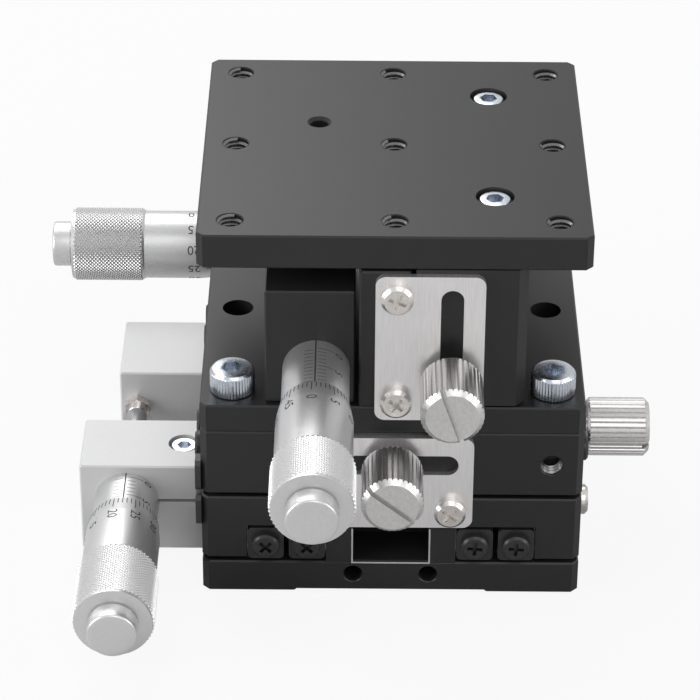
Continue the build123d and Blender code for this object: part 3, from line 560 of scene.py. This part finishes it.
@dataclass
class CapScrews:
    """Socket cap screws with knurled heads that stand for one CAD node, in millimetres."""

    node: str
    body: str
    places: list[tuple[float, float]]
    head_radius: float
    head_height: float
    shank_radius: float
    key: float
    flutes: int = 44
    flute_depth: float = 0.08
    edge: float = 0.75
    socket_depth: float = 2.2

    def head_profile(self, length: float) -> list[tuple[float, float]]:
        """The screw's profile from the middle of its head to the end of its shank.

        Args:
            length: The whole length, head and shank.

        Returns:
            Pairs of radius and height, the head's top at 0.
        """
        side = self.head_radius - self.flute_depth
        return [(NEAR_AXIS, 0.0), (self.key * 0.4, 0.0), (self.head_radius - self.edge, 0.0),
                (self.head_radius - 0.45, -0.08), (self.head_radius - 0.16, -0.42), (side, -0.6),
                (side, -self.head_height + 0.2), (self.head_radius - 0.3, -self.head_height),
                (self.shank_radius, -self.head_height), (self.shank_radius, -length),
                (NEAR_AXIS, -length)]

    def build_screw(self, length: float) -> bpy.types.Object:
        """Turns one screw, knurls its head and cuts its hexagon socket.

        Args:
            length: The whole length, head and shank.

        Returns:
            The screw, the top of its head at the origin.
        """
        sides = 2 * self.flutes
        screw = lathe(f"{self.node}_turned", self.head_profile(length), sides)
        for vertex in screw.data.vertices:
            if abs(reach(vertex) - self.head_radius + self.flute_depth) < 0.01:
                ridge = column(vertex, sides) % 2
                push(vertex, self.head_radius if ridge else self.head_radius - 2 * self.flute_depth)
        deselect()
        bpy.ops.mesh.primitive_cylinder_add(vertices=6, radius=self.key / math.sqrt(3),
                                            depth=2 * self.socket_depth, location=(0, 0, 0))
        socket = bpy.context.object
        socket.data.transform(Matrix.Rotation(math.radians(17), 4, "Z"))
        pick(screw)
        cut = screw.modifiers.new("socket", "BOOLEAN")
        cut.operation = "DIFFERENCE"
        cut.solver = "EXACT"
        cut.object = socket
        bpy.ops.object.modifier_apply(modifier=cut.name)
        bpy.data.objects.remove(socket)
        return screw

    def build(self) -> None:
        """Copies the screw to every place and gives the set its body."""
        low, high = (Vector(corner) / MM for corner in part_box(self.node))
        screw = self.build_screw(high.z - low.z)
        pieces = []
        for number, (x, y) in enumerate(self.places):
            twin = copy_of(screw)
            turn = Matrix.Rotation(math.radians(23 + 41 * number), 4, "Z")
            twin.data.transform(Matrix.Translation((x, y, high.z)) @ turn)
            pieces.append(twin)
        bpy.data.objects.remove(screw)
        screws = join(f"{self.node}_knurled", pieces)
        settle(screws)
        smooth(screws, 24.0)
        dress(screws, Coat.ZINC_SCREW)
        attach(screws, self.body)
        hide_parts(self.node)
        LOG.info("%s: %d knurled cap screws", self.node, len(self.places))


@dataclass
class Threads:
    """Cut threads inside the plain tapped holes of one body, in millimetres."""

    name: str
    body: str
    mouths: list[tuple[float, float, float]]
    direction: Vector
    major: float
    minor: float
    pitch: float = 0.7
    turns: int = 7
    root: float = 0.46
    crest: float = 0.08
    inset: float = 0.55

    def build_ridge(self) -> bpy.types.Object:
        """Winds one thread ridge down the Z axis.

        Returns:
            The closed ridge, its start at the origin.
        """
        deselect()
        bpy.ops.mesh.primitive_circle_add(vertices=4, radius=1.0)
        ridge = bpy.context.object
        corners = ((self.major, -self.root), (self.minor, -self.crest),
                   (self.minor, self.crest), (self.major, self.root))
        for vertex, (radius, height) in zip(ridge.data.vertices, corners):
            vertex.co = (radius, 0, height * self.pitch)
        winding = ridge.modifiers.new("thread", "SCREW")
        winding.axis = "Z"
        winding.steps = winding.render_steps = 30
        winding.iterations = self.turns
        winding.screw_offset = -self.pitch
        winding.use_merge_vertices = False
        bpy.ops.object.modifier_apply(modifier=winding.name)
        bpy.ops.object.mode_set(mode="EDIT")
        bpy.ops.mesh.select_all(action="DESELECT")
        bpy.ops.mesh.select_non_manifold()
        bpy.ops.mesh.edge_face_add()
        bpy.ops.object.mode_set(mode="OBJECT")
        fix_normals(ridge, 0.0001)
        return ridge

    def build(self) -> None:
        """Copies the ridge into every hole and gives the set its body."""
        ridge = self.build_ridge()
        turn = Vector((0, 0, 1)).rotation_difference(self.direction).to_matrix().to_4x4()
        sunk = Matrix.Translation((0, 0, -self.inset * self.pitch))
        pieces = []
        for number, mouth in enumerate(self.mouths):
            twin = copy_of(ridge)
            spin = Matrix.Rotation(math.radians(70 + 13 * number), 4, "Z")
            twin.data.transform(Matrix.Translation(mouth) @ turn @ sunk @ spin)
            pieces.append(twin)
        bpy.data.objects.remove(ridge)
        threads = join(self.name, pieces)
        settle(threads)
        smooth(threads, 25.0)
        dress(threads, Coat.BARE_THREAD)
        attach(threads, self.body)
        LOG.info("%s: threads in %d holes", self.name, len(self.mouths))


@dataclass
class BareRecess:
    """The bright edges of the milled recess at the base's front, in millimetres."""

    half_width: float = 6.0
    floor: float = 5.7
    edge: float = 0.28
    depth: float = 0.2
    proud: float = 0.012
    rounding: float = 0.05

    def build_strip(self, left: float, right: float, low: float, high: float) -> bpy.types.Object:
        """One bright edge.

        Args:
            left: Its lowest x.
            right: Its highest x.
            low: Its lowest z.
            high: Its highest z.

        Returns:
            The strip with rounded corners.
        """
        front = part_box("base_block")[0][1] / MM
        middle = ((left + right) / 2, front + self.depth / 2 - self.proud, (low + high) / 2)
        size = (right - left, self.depth, high - low, 1)
        deselect()
        bpy.ops.mesh.primitive_cube_add(size=1.0, location=(0, 0, 0))
        strip = bpy.context.object
        strip.data.transform(Matrix.Translation(middle) @ Matrix.Diagonal(size))
        bevel = strip.modifiers.new("edge", "BEVEL")
        bevel.width = self.rounding
        bevel.segments = 2
        bpy.ops.object.modifier_apply(modifier=bevel.name)
        return strip

    def build(self) -> None:
        """Makes the bright edges and gives them to the base."""
        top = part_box("y_inner_rails")[1][2] / MM
        outer = self.half_width + self.edge
        edges = join("base_recess_bare_edges", [
            self.build_strip(-outer, -self.half_width, self.floor, top),
            self.build_strip(self.half_width, outer, self.floor, top),
            self.build_strip(-outer, outer, self.floor - self.edge, self.floor),
        ])
        settle(edges)
        dress(edges, Coat.BARE_EDGE)
        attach(edges, "base")
        LOG.info("base recess: bare edges")


@dataclass
class CadSurfaces:
    """The machined parts that stay as the frame has them, each with its finish."""

    def build(self) -> None:
        """Puts every CAD node in the finish of its slot."""
        slots = {row["node"]: row["material_slot"] for row in frame["record"]["subparts"]}
        for name, node in frame["nodes"].items():
            material = MATERIALS[Coat(slots[name])]
            if not node.material_slots:
                node.data.materials.append(material)
            for slot in node.material_slots:
                slot.material = material
        LOG.info("finishes on %d frame nodes", len(frame["nodes"]))


@dataclass(frozen=True)
class SoftBox:
    """A square lamp that faces the object, its place and size in metres."""

    name: str
    place: tuple[float, float, float]
    size: float
    power: float
    aim: tuple[float, float, float] = (0.0, 0.0, 0.03)

    def build(self) -> None:
        """Hangs the lamp and turns it to the object."""
        deselect()
        bpy.ops.object.light_add(type="AREA", location=self.place)
        lamp = bpy.context.object
        lamp.name = self.name
        lamp.data.shape = "SQUARE"
        lamp.data.size = self.size
        lamp.data.energy = self.power
        ray = Vector(self.aim) - Vector(self.place)
        lamp.rotation_euler = ray.to_track_quat("-Z", "Y").to_euler()


@dataclass
class Studio:
    """A pale floor, soft lamps and the photograph's viewpoint, the camera's place in millimetres."""

    lens: float = 166.81
    sensor: float = 36.0
    distance: float = 527.5
    target: tuple[float, float, float] = (0.0, 0.0, 35.0)
    sideways: float = 6.80
    upwards: float = 6.78
    pitch: float = 31.22
    yaw: float = 0.15
    roll: float = -0.37
    floor_shade: float = 0.72
    floor_glow: float = 0.9
    sky_light: float = 0.30
    sky_mirrored: float = 0.7
    lamps: tuple[SoftBox, ...] = (
        SoftBox("key", (-0.3, 0.6, 0.8), size=0.8, power=5.6),
        SoftBox("front", (0.2, -0.9, 0.9), size=0.7, power=2.4),
        SoftBox("left", (-0.95, -0.35, 0.35), size=0.7, power=6.4),
        SoftBox("right", (0.85, -0.3, 0.4), size=0.5, power=2.4),
    )

    def build_floor(self) -> None:
        """A pale floor that keeps the object's shadow and is near white to the camera."""
        deselect()
        bpy.ops.mesh.primitive_plane_add(size=6.0, location=(0, 0, -0.0002))
        floor = bpy.context.object
        floor.name = "floor"
        material = bpy.data.materials.new("pale_floor")
        material.use_nodes = True
        nodes, links = material.node_tree.nodes, material.node_tree.links
        nodes.clear()
        paper = nodes.new("ShaderNodeBsdfDiffuse")
        paper.inputs["Color"].default_value = (*[self.floor_shade] * 3, 1.0)
        glow = nodes.new("ShaderNodeEmission")
        glow.inputs["Color"].default_value = WHITE
        glow.inputs["Strength"].default_value = 1.0
        rays = nodes.new("ShaderNodeLightPath")
        share = nodes.new("ShaderNodeMath")
        share.operation = "MULTIPLY"
        share.inputs[1].default_value = self.floor_glow
        mix = nodes.new("ShaderNodeMixShader")
        output = nodes.new("ShaderNodeOutputMaterial")
        links.new(rays.outputs["Is Camera Ray"], share.inputs[0])
        links.new(share.outputs[0], mix.inputs["Fac"])
        links.new(paper.outputs[0], mix.inputs[1])
        links.new(glow.outputs[0], mix.inputs[2])
        links.new(mix.outputs[0], output.inputs["Surface"])
        floor.data.materials.append(material)

    def build_surroundings(self) -> None:
        """Even light all round, white to the camera and paler in reflections."""
        world = bpy.data.worlds.new("surroundings")
        bpy.context.scene.world = world
        world.use_nodes = True
        nodes, links = world.node_tree.nodes, world.node_tree.links
        sky = nodes["Background"]
        sky.inputs["Color"].default_value = WHITE
        sky.inputs["Strength"].default_value = self.sky_light
        seen = nodes.new("ShaderNodeBackground")
        seen.inputs["Color"].default_value = WHITE
        rays = nodes.new("ShaderNodeLightPath")
        mirrored = nodes.new("ShaderNodeMath")
        mirrored.operation = "MULTIPLY_ADD"
        mirrored.use_clamp = True
        mirrored.inputs[1].default_value = self.sky_mirrored
        mix = nodes.new("ShaderNodeMixShader")
        links.new(rays.outputs["Is Glossy Ray"], mirrored.inputs[0])
        links.new(rays.outputs["Is Camera Ray"], mirrored.inputs[2])
        links.new(mirrored.outputs[0], mix.inputs["Fac"])
        links.new(sky.outputs[0], mix.inputs[1])
        links.new(seen.outputs[0], mix.inputs[2])
        links.new(mix.outputs[0], nodes["World Output"].inputs["Surface"])

    def build_camera(self) -> None:
        """The camera at the photograph's viewpoint."""
        turn = (Matrix.Rotation(math.radians(self.yaw), 3, "Z")
                @ Matrix.Rotation(math.radians(-self.pitch), 3, "X")
                @ Matrix.Rotation(math.radians(self.roll), 3, "Y"))
        right, forward, upward = turn.col
        eye = Vector(self.target) - forward * self.distance
        eye -= right * self.sideways + upward * self.upwards
        deselect()
        bpy.ops.object.camera_add(location=(0, 0, 0))
        camera = bpy.context.object
        camera.data.sensor_width = self.sensor
        camera.data.lens = self.lens
        camera.data.clip_start = 0.01
        facing = Matrix((right, upward, -forward)).transposed().to_4x4()
        camera.matrix_world = Matrix.Translation(eye * MM) @ facing
        bpy.context.scene.camera = camera

    def build(self) -> None:
        """Makes the floor, the lamps and the camera."""
        self.build_floor()
        for lamp in self.lamps:
            lamp.build()
        self.build_surroundings()
        self.build_camera()
        bpy.context.scene.view_settings.view_transform = "Standard"
        LOG.info("studio: floor, %d soft boxes and the camera", len(self.lamps))


def build_heads() -> None:
    """The micrometer heads of the three axes."""
    MicrometerHead("y", 6.2, 22.0, "y_micrometer_clamp", 13.6, "base", "y_drum").build()
    MicrometerHead("x", 6.5, 10.25, "x_micrometer_clamp", 13.6, "y_table", "x_drum",
                   outward=Vector((-1, 0, 0))).build()
    MicrometerHead("z", 10.0, 0.65, "z_lever_housing", 15.6, "x_table", "z_drum").build()


def build_fasteners() -> None:
    """The knurled cap screws and the threads of the open tapped holes."""
    pitch = 25.0
    corners = [(x, y) for x in (-pitch, pitch) for y in (-pitch, pitch)]
    CapScrews("z_base_plate_screws", "x_table", corners, head_radius=3.5, head_height=4.0,
              shank_radius=1.95, key=3.0).build()
    CapScrews("top_plate_screws", "z_table", [(15.4, -17.0), (15.4, 17.0)], head_radius=2.75,
              head_height=3.0, shank_radius=1.45, key=2.5).build()
    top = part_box("top_plate")[1][2] / MM
    grid = [(x, y, top) for x in (-pitch, 0.0, pitch) for y in (-pitch, 0.0, pitch)]
    Threads("top_plate_threads", "z_table", grid, Vector((0, 0, 1)), major=1.99, minor=1.66).build()
    side = (pitch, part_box("x_table_block")[0][1] / MM, 24.3)
    Threads("side_hole_thread", "x_table", [side], Vector((0, -1, 0)), major=1.74, minor=1.4).build()


def main() -> None:
    """Builds the studio, the finishes and the detailed pieces in order."""
    logging.basicConfig(level=logging.INFO, format="%(message)s")
    Studio().build()
    CadSurfaces().build()
    build_heads()
    build_fasteners()
    BareRecess().build()


if __name__ == "__main__":
    main()
